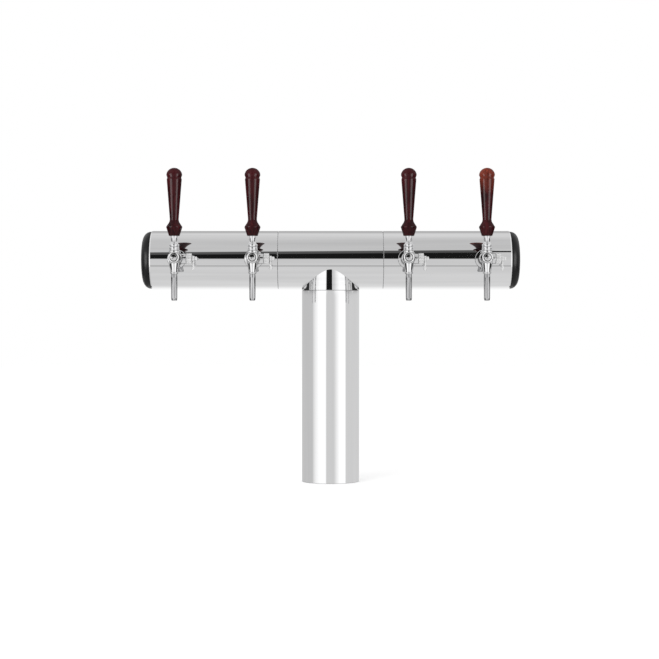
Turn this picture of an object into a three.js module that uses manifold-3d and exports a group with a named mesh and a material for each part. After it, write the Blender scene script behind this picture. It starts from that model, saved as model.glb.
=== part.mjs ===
// A T-shaped draught beer tower with four taps: a round column, a round head across its top,
// and inside them the beer lines and the foam that keeps them cold.
// Millimetres, +Z up. The origin is on the column's axis in the plane of the counter, and the taps face -Y.
import * as THREE from "three";
import { mergeVertices } from "three/addons/utils/BufferGeometryUtils.js";
import Module from "manifold-3d";

const wasm = await Module();
wasm.setup();

// Fits
const fitGap = 0.3; // between pieces that seat on each other
const seamGap = 0.4; // the fine line that shows between two polished tubes
const cutOver = 4; // how far a cutting shape runs past the face it cuts

// Head: the horizontal tube, in three lengths
const headRadius = 50.8;
const headWall = 2;
const headHeight = 383.4; // the head's axis above the counter
const headHalfLength = 309.6;
const teeHalfLength = 90.5;
const headBore = headRadius - headWall;

// Column and the tee's neck
const columnRadius = 50;
const columnWall = 2;
const neckDrop = 2.2; // how far the neck reaches below the head
const columnBore = columnRadius - columnWall;
const seamHeight = headHeight - headRadius - neckDrop;

// Sleeves inside the seams
const sleeveWall = 2.4;
const sleeveLength = 30;

// Base plate, inside the column's foot
const plateThickness = 8;
const plateRadius = columnBore - fitGap;
const studCircleRadius = 39;
const studHoleRadius = 3.4;
const studCount = 4;

// End caps
const capReach = 17.6; // how far a cap stands out of the head
const capRimWidth = 1.3; // of the straight rim, before the rounded corner
const capRise = 2.2; // of the shallow cone inside the rounded corner
const capRimRadius = 49.5;
const capCornerHeight = 15.7;
const capSpigotLength = 12;
const capSpigotWall = 3;
const capCornerSteps = 4;

// Taps: where they stand on the head
const outerTapInset = 47.6; // from the head's end in to an outer tap
const innerTapInset = 40.5; // from the tee's end out to an inner tap
const spoutOffset = 93; // from the head's axis forward to the axis of spout and lever
const flowShaftOffset = 63.5; // from the head's axis forward to the flow lever's shaft

// Tap body: barrel and shank, turned about the shank's axis
const shankRadius = 10.9;
const shankEnd = 37; // distances named End or Face are forward of the head's axis
const shankHoleRadius = shankRadius + fitGap;
const flangeFace = 54.2;
const flangeRadius = 16;
const flangeChamfer = 1.4;
const barrelRadius = 11.4;
const barrelFace = 104;
const barrelNoseRadius = 9.3;
const barrelTaperStart = 75;
const barrelTaperEnd = 79;
const noseChamfer = 1;
const noseDiscRadius = 6.4; // the disc that stands proud of the barrel's nose
const noseDiscRise = 1.6;
const barrelBore = 7.4;
const chamberBore = 6.4;
const chamberEnd = 101;
const seatBore = 4.6;
const seatFront = 83;
const seatBack = 80;

// Tap body: necks above and below the barrel
const neckRadius = 8.8;
const neckTop = 11.9; // heights from here on are above or below the shank's axis
const ballSeatRadius = 6.95;
const neckBore = 6.3;
const swingSlotTop = 13;
const swingSlotBack = 8; // behind the lever's axis
const lowerNeckTopRadius = 9.1;
const lowerNeckRadius = 6.3;
const lowerNeckEnd = 27.7;
const lowerNeckShoulder = 8.5;
const lowerNeckWaist = 18;
const spoutBore = 3.7;

// Spout tube
const spoutTopRadius = 5.2;
const spoutTipRadius = 4.9;
const spoutEnd = 71.8;
const spoutSpigotRadius = 4.7;
const spoutSpigotTop = 20.3;
const spoutTipRound = 1.3;

// Collar nut and lever ball
const collarRadius = 8.6;
const collarTop = 23;
const collarGrooveHeight = 18.3;
const collarGrooveDepth = 0.9;
const collarGrooveHalfWidth = 0.5;
const collarChamfer = 0.7;
const pivotHeight = 21.5;
const ballRadius = 7;
const leverPinRadius = 1.6;
const leverPinLean = (12 * Math.PI) / 180; // forward, while the tap is shut
const leverTipRadius = 2;
const leverTipSide = 0.4; // the room beside the tip
const leverArm = 17; // from the pivot down to the lever's tip
const ferruleRadius = 6.6;
const ferruleFootRadius = 4.5;
const ferruleTop = 36.4;
const ferruleFootRise = 6; // the ferrule's waist above the pivot
const ferruleWaistRadius = 5.3;
const studRadius = 3;
const studLength = 12;

// Handle
const handleFoot = 36.7;
const handleFootRadius = 8.9;
const beadHeight = 51.3;
const beadRadius = 13.4;
const beadHalfEdge = 0.5;
const waistHeight = 61.5;
const waistRadius = 7.2;
const shoulderHeight = 131.5;
const shoulderRadius = 12.6;
const grooveHeight = 134;
const grooveRadius = 11.6;
const domeHeight = 138.2;
const domeRadius = 13.2;
const handleTop = 150.6;
const domeSteps = 4;

// Valve plunger
const plungerRadius = 3.1;
const plungerHeadRadius = 6.5;
const plungerHeadThickness = 2;
const lugHalfWidth = 2.4;
const lugWall = 1.2; // in front of the lever's tip and behind it
const lugHeight = 5.2;
const lugSlotFloor = 1.5;
const lugPlay = 0.55;

// Flow control: boss, gland, lever and cone
const bossRadius = 8.6;
const bossEnd = 17.5; // distances to the side are from the tap's middle
const socketStart = 7.3;
const glandRadius = 9.1;
const glandEnd = 26.8;
const glandFluteDepth = 0.55;
const glandFlutes = 12;
const glandSpigotRadius = 4.5;
const glandSpigotStart = 11;
const flowShaftRadius = 2.9;
const crankRadius = 4.4;
const crankThickness = 2.8;
const crankThrow = 2.4;
const crankPinRadius = 1.2;
const crankPinStart = 1.5;
const hubRadius = 4.6;
const hubLength = 4.2;
const capScrewRadius = 3.3;
const capScrewLength = 4.3;
const flowArmRadius = 1.9;
const flowArmLength = 17.6;
const flowTipRadius = 2.9;
const coneStemRadius = 4.3;
const coneStemFront = 0.8; // beyond the crank pin's slot
const coneSlotPlay = 0.45; // on each side of the crank pin
const coneSlotStart = 0.8;
const coneSlotTop = 1;
const coneLargeRadius = 6.6;
const coneSmallRadius = 2.4;
const coneLength = 16;
const coneShoulder = 3.5; // behind the crank pin's slot

// Tail nut: clamps the shank inside the head and holds the beer line's end
const nutAcrossFlats = 27;
const nutFace = 45.6;
const nutEnd = 32;
const nutFloor = 35;
const lineSocketEnd = 19;
const lineSocketFloor = 28;
const lineSocketWall = 2.3;

// Beer lines: out of the nuts, along the head, then down the column
const lineRadius = 4.75;
const lineBoreShare = 0.62; // of the line's radius, for the nut's passage
const lineFoot = 2; // above the counter
const lineSide = 21; // from the column's axis to the lines beside it
const lineLead = 3; // straight out of the nut, before the bend
const lineBend = 34; // how far along the head that bend reaches
const outerLineBehind = 18; // of the head's axis
const outerLineRise = 4; // above it
const innerLineBehind = 1;
const innerLineRise = -17;
const turnWidth = 45; // of the turn from the head down into the column
const turnDepth = 50;

// How finely round things are cut into facets
const headSides = 36;
const tapSides = 14;
const smallSides = 8;
const lineSides = 6;
const bendSteps = 3;

// A geometry as a solid that can be joined and cut.
function solid(geometry) {
  const bare = geometry.clone();
  bare.deleteAttribute("normal");
  bare.deleteAttribute("uv");
  const merged = mergeVertices(bare, 1e-4);
  return new wasm.Manifold(
    new wasm.Mesh({
      numProp: 3,
      vertProperties: merged.attributes.position.array,
      triVerts: new Uint32Array(merged.index.array),
    }),
  );
}

// A solid as a geometry that a mesh can hold.
function geometryOf(manifold) {
  const cut = manifold.getMesh();
  const positions = new Float32Array(cut.numVert * 3);
  for (let i = 0; i < cut.numVert; i++) {
    positions.set(cut.vertProperties.subarray(i * cut.numProp, i * cut.numProp + 3), i * 3);
  }
  return new THREE.BufferGeometry()
    .setAttribute("position", new THREE.BufferAttribute(positions, 3))
    .setIndex(new THREE.BufferAttribute(cut.triVerts, 1));
}

// A turned shape about the x, y or z axis. Its profile is a list of [radius, distance along the axis].
function turned(axis, profile, sides = tapSides) {
  const points = profile.map(([radius, along]) => new THREE.Vector2(radius, along));
  const geometry = new THREE.LatheGeometry(points, sides);
  if (axis === "x") geometry.rotateZ(-Math.PI / 2);
  if (axis === "z") geometry.rotateX(Math.PI / 2);
  return geometry;
}

// The radius of a faceted hole whose flats stay clear of a round piece that turns or lies askew in it.
const holeFor = (radius, sides = smallSides) => radius / Math.cos(Math.PI / sides) + fitGap;

function rod(axis, radius, from, to, sides = tapSides) {
  return turned(axis, [[0, from], [radius, from], [radius, to], [0, to]], sides);
}

function tube(axis, outer, inner, from, to, sides = tapSides) {
  return turned(axis, [[inner, from], [outer, from], [outer, to], [inner, to], [inner, from]], sides);
}

// A box between two corners.
function block(low, high) {
  const size = high.map((value, i) => value - low[i]);
  const middle = high.map((value, i) => (value + low[i]) / 2);
  return new THREE.BoxGeometry(...size).translate(...middle);
}

// Points of an arc, from one angle to another, as [radius, distance along the axis].
function arc(middle, radiusAcross, radiusAlong, from, to, steps) {
  return Array.from({ length: steps + 1 }, (_, i) => {
    const angle = from + ((to - from) * i) / steps;
    return [radiusAcross * Math.cos(angle), middle + radiusAlong * Math.sin(angle)];
  });
}

const materials = {
  chrome: new THREE.MeshStandardMaterial({ color: 0xd4d5d6, roughness: 0.06, metalness: 1 }),
  steel: new THREE.MeshStandardMaterial({ color: 0xb9bbbd, roughness: 0.3, metalness: 1 }),
  brass: new THREE.MeshStandardMaterial({ color: 0xb89a5a, roughness: 0.3, metalness: 1 }),
  blackPlastic: new THREE.MeshStandardMaterial({ color: 0x1c1c1d, roughness: 0.4, metalness: 0 }),
  wood: new THREE.MeshStandardMaterial({ color: 0x4b2023, roughness: 0.3, metalness: 0 }),
  foam: new THREE.MeshStandardMaterial({ color: 0xe3d6a8, roughness: 0.9, metalness: 0 }),
  line: new THREE.MeshStandardMaterial({ color: 0xdfe4e6, roughness: 0.35, metalness: 0 }),
};

const tower = new THREE.Group();
tower.name = "beer_tower";

function add(parent, name, geometry, material) {
  const mesh = new THREE.Mesh(geometry, material);
  mesh.name = name;
  parent.add(mesh);
  return mesh;
}

const outerTapX = headHalfLength - outerTapInset;
const innerTapX = teeHalfLength + innerTapInset;
const tapX = [-outerTapX, -innerTapX, innerTapX, outerTapX];

// Tubes of the head: shapes about the x axis, lifted to the head's height
const lifted = (geometry) => geometry.translate(0, 0, headHeight);

function tee() {
  const reach = teeHalfLength - seamGap / 2;
  const outside = solid(lifted(rod("x", headRadius, -reach, reach, headSides))).add(
    solid(rod("z", columnRadius, seamHeight, headHeight, headSides)),
  );
  return geometryOf(
    outside
      .subtract(solid(lifted(rod("x", headBore, -reach - cutOver, reach + cutOver, headSides))))
      .subtract(solid(rod("z", columnBore, seamHeight - cutOver, headHeight, headSides))),
  );
}

function arm(side) {
  const ends = [side * (teeHalfLength + seamGap / 2), side * headHalfLength].sort((a, b) => a - b);
  let wall = solid(lifted(tube("x", headRadius, headBore, ...ends, headSides)));
  for (const x of tapX.filter((value) => value * side > 0)) {
    const hole = rod("y", shankHoleRadius, -headRadius - cutOver, 0);
    wall = wall.subtract(solid(hole.translate(x, 0, headHeight)));
  }
  return geometryOf(wall);
}

function endCap(side) {
  const rim = headBore - fitGap;
  const start = headHalfLength + fitGap;
  const cornerStart = start + capRimWidth;
  const cornerReach = headHalfLength + capReach - capRise - cornerStart;
  const corner = arc(cornerStart, 1, cornerReach, 0, Math.PI / 2, capCornerSteps).map(([share, along]) => [
    capRimRadius - capCornerHeight * (1 - share),
    along,
  ]);
  const profile = [
    [0, start],
    [rim - capSpigotWall, start],
    [rim - capSpigotWall, start - capSpigotLength],
    [rim, start - capSpigotLength],
    [rim, start],
    [capRimRadius, start],
    ...corner,
    [0, headHalfLength + capReach],
  ];
  const cap = lifted(turned("x", profile, headSides));
  return side > 0 ? cap : cap.rotateZ(Math.PI);
}

const sleeveOuter = headBore - fitGap;
const columnSleeveOuter = columnBore - fitGap;

function armSleeve(side) {
  const middle = side * teeHalfLength;
  const half = sleeveLength / 2;
  return lifted(tube("x", sleeveOuter, sleeveOuter - sleeveWall, middle - half, middle + half, headSides));
}

// The column's sleeve stops below the head's bore, so it never reaches into the head.
const columnSleeveTop = headHeight - headBore - fitGap;
const columnSleeveFoot = columnSleeveTop - sleeveLength;

function columnSleeve() {
  const inner = columnSleeveOuter - sleeveWall;
  return tube("z", columnSleeveOuter, inner, columnSleeveFoot, columnSleeveTop, headSides);
}

// A path through a list of points, with one ring of a tube's facets at each.
class BentPath extends THREE.Curve {
  constructor(points) {
    super();
    this.points = points.map((p) => new THREE.Vector3(...p));
  }
  at(share) {
    return Math.round(share * (this.points.length - 1));
  }
  getPointAt(share) {
    return this.points[this.at(share)].clone();
  }
  getTangentAt(share) {
    const i = this.at(share);
    const here = this.points[i];
    const before = this.points[i - 1] ?? here;
    const after = this.points[i + 1] ?? here;
    const arriving = here.clone().sub(before).normalize();
    return arriving.add(after.clone().sub(here).normalize()).normalize();
  }
}

function pipe(points, radius) {
  const ring = Array.from({ length: lineSides }, (_, i) => {
    const angle = (i * 2 * Math.PI) / lineSides;
    return new THREE.Vector2(radius * Math.cos(angle), radius * Math.sin(angle));
  });
  return new THREE.ExtrudeGeometry(new THREE.Shape(ring), {
    extrudePath: new BentPath(points),
    steps: points.length - 1,
    bevelEnabled: false,
  });
}

// A beer line's route from its tap, along the head and down into the column, to just above the counter.
function lineRoute(x, behind, rise) {
  const inward = -Math.sign(x);
  const leadEnd = -lineSocketEnd + lineLead;
  const quarter = Array.from({ length: bendSteps }, (_, i) => ((i + 1) * Math.PI) / (2 * bendSteps));
  const columnX = -inward * lineSide;
  const bend = quarter.map((angle) => [
    x + inward * lineBend * (1 - Math.cos(angle)),
    leadEnd + (behind - leadEnd) * Math.sin(angle),
    headHeight + rise * Math.sin(angle),
  ]);
  const turn = [0, ...quarter].map((angle) => [
    columnX - inward * turnWidth * (1 - Math.sin(angle)),
    behind,
    headHeight + rise - turnDepth * (1 - Math.cos(angle)),
  ]);
  return [
    [x, -lineSocketFloor + fitGap, headHeight],
    [x, leadEnd, headHeight],
    ...bend,
    ...turn,
    [columnX, behind, lineFoot],
  ];
}

const lineRoutes = tapX.map((x) =>
  Math.abs(x) > innerTapX
    ? lineRoute(x, outerLineBehind, outerLineRise)
    : lineRoute(x, innerLineBehind, innerLineRise),
);

function basePlate() {
  const holes = Array.from({ length: studCount }, (_, i) => {
    const angle = (i * 2 * Math.PI) / studCount;
    return [studHoleRadius, studCircleRadius * Math.cos(angle), studCircleRadius * Math.sin(angle)];
  });
  for (const route of lineRoutes) {
    const [x, y] = route.at(-1);
    holes.push([holeFor(lineRadius), x, y]);
  }
  let plate = solid(rod("z", plateRadius, 0, plateThickness, headSides));
  for (const [radius, x, y] of holes) {
    const hole = rod("z", radius, -cutOver, plateThickness + cutOver, smallSides);
    plate = plate.subtract(solid(hole.translate(x, y, 0)));
  }
  return geometryOf(plate);
}

// Tail nut, about the shank's axis, at x = 0
const lineSocketRadius = holeFor(lineRadius);
const nutRadius = nutAcrossFlats / Math.sqrt(3);

function tailNut() {
  const hex = rod("y", nutRadius, -nutFace, -nutEnd, 6);
  const stem = rod("y", lineSocketRadius + lineSocketWall, -nutEnd, -lineSocketEnd);
  const passage = rod("y", lineRadius * lineBoreShare, -nutFace, -lineSocketEnd, smallSides);
  return geometryOf(
    solid(hex)
      .add(solid(stem))
      .subtract(solid(rod("y", shankHoleRadius, -nutFace - cutOver, -nutFloor)))
      .subtract(solid(rod("y", lineSocketRadius, -lineSocketFloor, -lineSocketEnd + cutOver, smallSides)))
      .subtract(solid(passage)),
  );
}

// The foam cores slip through the sleeves, with pockets for the tail nuts and channels for the lines.
function channelled(core) {
  for (const route of lineRoutes) core = core.subtract(solid(pipe(route, lineRadius + fitGap)));
  return geometryOf(core);
}

const headCoreRadius = sleeveOuter - sleeveWall - fitGap;

function headCore() {
  const end = headHalfLength - capSpigotLength - fitGap;
  let core = solid(lifted(rod("x", headCoreRadius, -end, end, headSides)));
  for (const x of tapX) {
    const pocket = rod("y", holeFor(nutRadius, tapSides), -headRadius, -lineSocketEnd + fitGap);
    core = core.subtract(solid(pocket.translate(x, 0, headHeight)));
  }
  return channelled(core);
}

function columnCore() {
  const top = headHeight - headCoreRadius - fitGap;
  const radius = columnSleeveOuter - sleeveWall - fitGap;
  return channelled(solid(rod("z", radius, plateThickness + fitGap, top, headSides)));
}

// Tap pieces. Each is made about the shank's axis, with the tap's middle at x = 0 and the head's axis at
// y = 0, and each tap's group carries them to their place.
const atSpout = (geometry) => geometry.translate(0, -spoutOffset, 0);
const atFlowShaft = (geometry) => geometry.translate(0, -flowShaftOffset, 0);

function flange() {
  const plate = turned("y", [
    [shankHoleRadius, -flangeFace + fitGap],
    [flangeRadius - flangeChamfer, -flangeFace + fitGap],
    [flangeRadius, -flangeFace + fitGap + flangeChamfer],
    [flangeRadius, 0],
    [shankHoleRadius, 0],
    [shankHoleRadius, -flangeFace + fitGap],
  ]);
  const seat = rod("x", headRadius + fitGap, -flangeRadius - cutOver, flangeRadius + cutOver, headSides);
  return geometryOf(solid(plate).subtract(solid(seat)));
}

const socketRadius = holeFor(crankRadius);
const neckFlat = neckBore * Math.cos(Math.PI / smallSides);
const ballSeatTop = pivotHeight - Math.sqrt((ballRadius + fitGap) ** 2 - neckFlat ** 2);

function tapBody() {
  const barrel = turned("y", [
    [0, -barrelFace - noseDiscRise],
    [noseDiscRadius, -barrelFace - noseDiscRise],
    [noseDiscRadius, -barrelFace],
    [barrelNoseRadius - noseChamfer, -barrelFace],
    [barrelNoseRadius, -barrelFace + noseChamfer],
    [barrelNoseRadius, -barrelTaperEnd],
    [barrelRadius, -barrelTaperStart],
    [barrelRadius, -flangeFace],
    [shankRadius, -flangeFace],
    [shankRadius, -shankEnd],
    [0, -shankEnd],
  ]);
  const upperNeck = turned("z", [
    [0, 0],
    [neckRadius, 0],
    [neckRadius, neckTop],
    [ballSeatRadius, neckTop],
    [ballSeatRadius, ballSeatTop],
    [0, ballSeatTop],
  ]);
  const lowerNeck = turned("z", [
    [0, -lowerNeckEnd],
    [lowerNeckRadius, -lowerNeckEnd],
    [lowerNeckRadius, -lowerNeckWaist],
    [lowerNeckTopRadius, -lowerNeckShoulder],
    [lowerNeckTopRadius, 0],
    [0, 0],
  ]);
  const bore = turned("y", [
    [0, -chamberEnd],
    [chamberBore, -chamberEnd],
    [chamberBore, -seatFront],
    [seatBore, -seatFront],
    [seatBore, -seatBack],
    [barrelBore, -seatBack],
    [barrelBore, -shankEnd + cutOver],
    [0, -shankEnd + cutOver],
  ], smallSides);
  const outlet = turned("z", [
    [0, -lowerNeckEnd - cutOver],
    [spoutSpigotRadius + fitGap, -lowerNeckEnd - cutOver],
    [spoutSpigotRadius + fitGap, -spoutSpigotTop + fitGap],
    [spoutBore, -spoutSpigotTop + fitGap],
    [spoutBore, 0],
    [0, 0],
  ], smallSides);
  const slotSide = leverTipRadius + leverTipSide;
  const swingSlot = block([-slotSide, 0, 0], [slotSide, swingSlotBack, swingSlotTop]);
  return geometryOf(
    solid(barrel)
      .add(solid(atSpout(upperNeck)))
      .add(solid(atSpout(lowerNeck)))
      .add(solid(atFlowShaft(rod("x", bossRadius, 0, bossEnd))))
      .subtract(solid(bore))
      .subtract(solid(atSpout(outlet)))
      .subtract(solid(atSpout(rod("z", neckBore, 0, ballSeatTop + cutOver, smallSides))))
      .subtract(solid(atSpout(swingSlot)))
      .subtract(solid(atFlowShaft(rod("x", socketRadius, 0, bossEnd + cutOver, smallSides)))),
  );
}

function spout() {
  return atSpout(turned("z", [
    [spoutBore, -spoutEnd],
    [spoutTipRadius - spoutTipRound / 2, -spoutEnd],
    [spoutTipRadius, -spoutEnd + spoutTipRound],
    [spoutTopRadius, -lowerNeckEnd - fitGap],
    [spoutSpigotRadius, -lowerNeckEnd - fitGap],
    [spoutSpigotRadius, -spoutSpigotTop],
    [spoutBore, -spoutSpigotTop],
    [spoutBore, -spoutEnd],
  ], smallSides));
}

function collarNut() {
  const socket = ballRadius + fitGap;
  const mouth = collarTop - pivotHeight;
  const foot = neckTop + fitGap;
  return atSpout(turned("z", [
    [socket, foot],
    [collarRadius, foot],
    [collarRadius, collarGrooveHeight - collarGrooveHalfWidth],
    [collarRadius - collarGrooveDepth, collarGrooveHeight],
    [collarRadius, collarGrooveHeight + collarGrooveHalfWidth],
    [collarRadius, collarTop - collarChamfer],
    [collarRadius - collarChamfer, collarTop],
    [Math.sqrt(socket ** 2 - mouth ** 2), collarTop],
    [socket, pivotHeight],
    [socket, foot],
  ]));
}

function lever() {
  const footAngle = Math.asin(ferruleFootRadius / ballRadius);
  const upper = turned("z", [
    ...arc(pivotHeight, ballRadius, ballRadius, -Math.PI / 2, Math.PI / 2 - footAngle, 5),
    [ferruleWaistRadius, pivotHeight + ferruleFootRise],
    [ferruleRadius, ferruleTop],
    [studRadius, ferruleTop],
    [studRadius, ferruleTop + studLength],
    [0, ferruleTop + studLength],
  ], smallSides);
  const pin = turned("z", [
    ...arc(-leverArm, leverTipRadius, leverTipRadius, -Math.PI / 2, Math.PI / 6, 3),
    [leverPinRadius, -ballRadius / 2],
    [0, -ballRadius / 2],
  ], smallSides);
  pin.rotateX(-leverPinLean).translate(0, 0, pivotHeight);
  return geometryOf(solid(atSpout(upper)).add(solid(atSpout(pin))));
}

function handle() {
  const dome = arc(domeHeight, domeRadius, handleTop - domeHeight, 0, Math.PI / 2, domeSteps);
  const hole = studRadius + fitGap;
  const depth = ferruleTop + studLength + fitGap;
  return atSpout(turned("z", [
    [0, depth],
    [hole, depth],
    [hole, handleFoot],
    [handleFootRadius, handleFoot],
    [beadRadius, beadHeight - beadHalfEdge],
    [beadRadius, beadHeight + beadHalfEdge],
    [waistRadius, waistHeight],
    [shoulderRadius, shoulderHeight],
    [grooveRadius, grooveHeight],
    ...dome,
  ]));
}

// The lever's tip, while the tap is shut, between the plunger's two lugs.
const tipForward = leverArm * Math.sin(leverPinLean);
const lugSlotHalf = leverTipRadius + lugPlay;

function valvePlunger() {
  const middle = -spoutOffset - tipForward;
  const front = middle - lugSlotHalf - lugWall;
  const back = middle + lugSlotHalf + lugWall;
  const headFront = -seatBack + fitGap;
  const shaft = turned("y", [
    [0, front],
    [plungerRadius, front],
    [plungerRadius, headFront],
    [plungerHeadRadius, headFront],
    [plungerHeadRadius, headFront + plungerHeadThickness],
    [0, headFront + plungerHeadThickness],
  ], smallSides);
  const lugs = block([-lugHalfWidth, front, 0], [lugHalfWidth, back, lugHeight]);
  const slot = block(
    [-lugHalfWidth - cutOver, middle - lugSlotHalf, lugSlotFloor],
    [lugHalfWidth + cutOver, middle + lugSlotHalf, lugHeight + cutOver],
  );
  return geometryOf(solid(shaft).add(solid(lugs)).subtract(solid(slot)));
}

function flowGland() {
  const count = glandFlutes * 2;
  const outline = new THREE.Shape(
    Array.from({ length: count }, (_, i) => {
      const radius = glandRadius - (i % 2) * glandFluteDepth;
      const angle = (i * 2 * Math.PI) / count;
      return new THREE.Vector2(radius * Math.cos(angle), radius * Math.sin(angle));
    }),
  );
  const start = bossEnd + fitGap;
  const head = new THREE.ExtrudeGeometry(outline, { depth: glandEnd - start, bevelEnabled: false });
  head.rotateY(Math.PI / 2).translate(start, 0, 0);
  return geometryOf(
    solid(atFlowShaft(head))
      .add(solid(atFlowShaft(rod("x", glandSpigotRadius, glandSpigotStart, start + fitGap, smallSides))))
      .subtract(solid(atFlowShaft(rod("x", holeFor(flowShaftRadius), 0, glandEnd + cutOver, smallSides)))),
  );
}

const crankStart = socketStart + fitGap;
const hubStart = glandEnd + fitGap;

// The crank pin rests as far behind the shaft as below it, so that it swings evenly to both sides.
const crankBehind = crankThrow * Math.SQRT1_2;

function flowLever() {
  const shaft = turned("x", [
    [0, crankStart],
    [crankRadius, crankStart],
    [crankRadius, crankStart + crankThickness],
    [flowShaftRadius, crankStart + crankThickness],
    [flowShaftRadius, hubStart],
    [hubRadius, hubStart],
    [hubRadius, hubStart + hubLength],
    [capScrewRadius, hubStart + hubLength],
    [capScrewRadius, hubStart + hubLength + capScrewLength],
    [0, hubStart + hubLength + capScrewLength],
  ], smallSides);
  const pin = rod("x", crankPinRadius, crankPinStart, crankStart + crankThickness / 2, smallSides);
  const armLine = hubStart + hubLength / 2;
  const arm = rod("z", flowArmRadius, -flowArmLength, 0, smallSides).translate(armLine, 0, 0);
  const tip = new THREE.SphereGeometry(flowTipRadius, smallSides, smallSides / 2);
  return geometryOf(
    solid(atFlowShaft(shaft))
      .add(solid(atFlowShaft(pin.translate(0, crankBehind, -crankBehind))))
      .add(solid(atFlowShaft(arm)))
      .add(solid(atFlowShaft(tip.translate(armLine, 0, -flowArmLength)))),
  );
}

function flowCone() {
  const pinAt = -flowShaftOffset + crankBehind;
  const slotHalf = crankPinRadius + coneSlotPlay;
  const front = pinAt - slotHalf - coneStemFront;
  const shoulder = pinAt + slotHalf + coneShoulder;
  const cone = turned("y", [
    [0, front],
    [coneStemRadius, front],
    [coneStemRadius, shoulder - coneShoulder / 2],
    [coneLargeRadius, shoulder],
    [coneSmallRadius, shoulder + coneLength],
    [0, shoulder + coneLength],
  ], smallSides);
  const slot = block(
    [coneSlotStart, pinAt - slotHalf, -coneStemRadius - cutOver],
    [coneStemRadius + cutOver, pinAt + slotHalf, coneSlotTop],
  );
  return geometryOf(solid(cone).subtract(solid(slot)));
}

add(tower, "tee", tee(), materials.chrome);
add(tower, "left_arm_tube", arm(-1), materials.chrome);
add(tower, "right_arm_tube", arm(1), materials.chrome);
add(tower, "left_arm_sleeve", armSleeve(-1), materials.steel);
add(tower, "right_arm_sleeve", armSleeve(1), materials.steel);
add(
  tower,
  "column_tube",
  tube("z", columnRadius, columnBore, 0, seamHeight - seamGap, headSides),
  materials.chrome,
);
add(tower, "column_sleeve", columnSleeve(), materials.steel);
add(tower, "base_plate", basePlate(), materials.steel);
add(tower, "left_end_cap", endCap(-1), materials.blackPlastic);
add(tower, "right_end_cap", endCap(1), materials.blackPlastic);
add(tower, "head_foam_core", headCore(), materials.foam);
add(tower, "column_foam_core", columnCore(), materials.foam);

tapX.forEach((x, i) => {
  const number = i + 1;
  const tap = new THREE.Group();
  tap.position.set(x, 0, headHeight);
  tower.add(tap);
  add(tower, `beer_line_${number}`, pipe(lineRoutes[i], lineRadius), materials.line);
  add(tap, `tap_${number}_flange`, flange(), materials.chrome);
  add(tap, `tap_${number}_body`, tapBody(), materials.chrome);
  add(tap, `tap_${number}_tail_nut`, tailNut(), materials.brass);
  add(tap, `tap_${number}_spout`, spout(), materials.steel);
  add(tap, `tap_${number}_collar_nut`, collarNut(), materials.chrome);
  add(tap, `tap_${number}_lever`, lever(), materials.chrome);
  add(tap, `tap_${number}_handle`, handle(), materials.wood);
  add(tap, `tap_${number}_valve_plunger`, valvePlunger(), materials.steel);
  add(tap, `tap_${number}_flow_gland`, flowGland(), materials.chrome);
  add(tap, `tap_${number}_flow_lever`, flowLever(), materials.chrome);
  add(tap, `tap_${number}_flow_cone`, flowCone(), materials.blackPlastic);
});

export default tower;
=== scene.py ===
"""Dresses a four-tap draught beer tower: polished tubes, black caps, taps, turned handles and a studio."""

from math import atan2, cos, pi, radians, sin, sqrt

import bmesh
import bpy
from bpy.props import FloatProperty, FloatVectorProperty, IntProperty, PointerProperty
from mathutils import Matrix, Vector


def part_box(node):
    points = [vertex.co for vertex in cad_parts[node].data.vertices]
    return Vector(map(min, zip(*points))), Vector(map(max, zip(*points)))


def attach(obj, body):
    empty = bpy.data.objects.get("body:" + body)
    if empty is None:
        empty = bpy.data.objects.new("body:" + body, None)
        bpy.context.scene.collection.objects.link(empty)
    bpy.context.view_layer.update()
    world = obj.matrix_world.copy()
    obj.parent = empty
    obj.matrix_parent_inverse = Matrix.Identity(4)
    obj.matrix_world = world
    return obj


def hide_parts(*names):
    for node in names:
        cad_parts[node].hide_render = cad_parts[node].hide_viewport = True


bl_info = {
    "name": "Four-Tap Beer Tower",
    "version": (1, 0, 0),
    "blender": (4, 5, 0),
    "location": "View3D > Sidebar > Beer Tower",
    "description": "Builds the tubes, taps and handles of a T-shaped draught beer tower, and its studio",
    "category": "Object",
}

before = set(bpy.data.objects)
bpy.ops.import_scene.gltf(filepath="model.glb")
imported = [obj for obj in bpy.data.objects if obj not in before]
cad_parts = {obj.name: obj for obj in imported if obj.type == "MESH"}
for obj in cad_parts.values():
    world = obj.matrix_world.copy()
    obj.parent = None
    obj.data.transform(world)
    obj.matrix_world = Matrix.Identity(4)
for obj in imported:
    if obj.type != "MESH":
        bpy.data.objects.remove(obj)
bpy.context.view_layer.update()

MM = 0.001
TAPS = (1, 2, 3, 4)
SAME_PLACE = 1e-6  # metres between two corners that count as one
ON_WALL = 0.02 * MM  # how far from a round wall a corner still counts as lying on it
BEVEL_STEPS = 4
SHARP_ANGLE = radians(32)


def span(node, axis):
    """The lowest and highest place of a solid along an axis, 0 to 2 for X to Z."""
    low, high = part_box(node)
    return low[axis], high[axis]


def middle(node, axis):
    """The place half-way along a solid."""
    return sum(span(node, axis)) / 2


HEAD_Z = middle("left_arm_tube", 2)
HEAD_RADIUS = HEAD_Z - span("left_arm_tube", 2)[0]
HEAD_END = span("right_arm_tube", 0)[1]
ARM_START = span("right_arm_tube", 0)[0]
TEE_END = span("tee", 0)[1]
TEE_FOOT = span("tee", 2)[0]
COLUMN_RADIUS = span("column_tube", 0)[1]
COLUMN_TOP = span("column_tube", 2)[1]
CAP_TIP = span("right_end_cap", 0)[1]
TAP_X = {n: middle(f"tap_{n}_handle", 0) for n in TAPS}

# Tap pieces are made round the shank's axis. These are the axes of the spout and of the side boss, from the
# head's axis, and the middle of the lever's ball.
SPOUT_Y = -93 * MM
FLOW_Y = -63.5 * MM
PIVOT_Z = 21.5 * MM
SHANK = 10.9 * MM  # radius of the shank behind the flange
SHANK_HOLE = 11.2 * MM  # radius of the holes in head and flange


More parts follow.
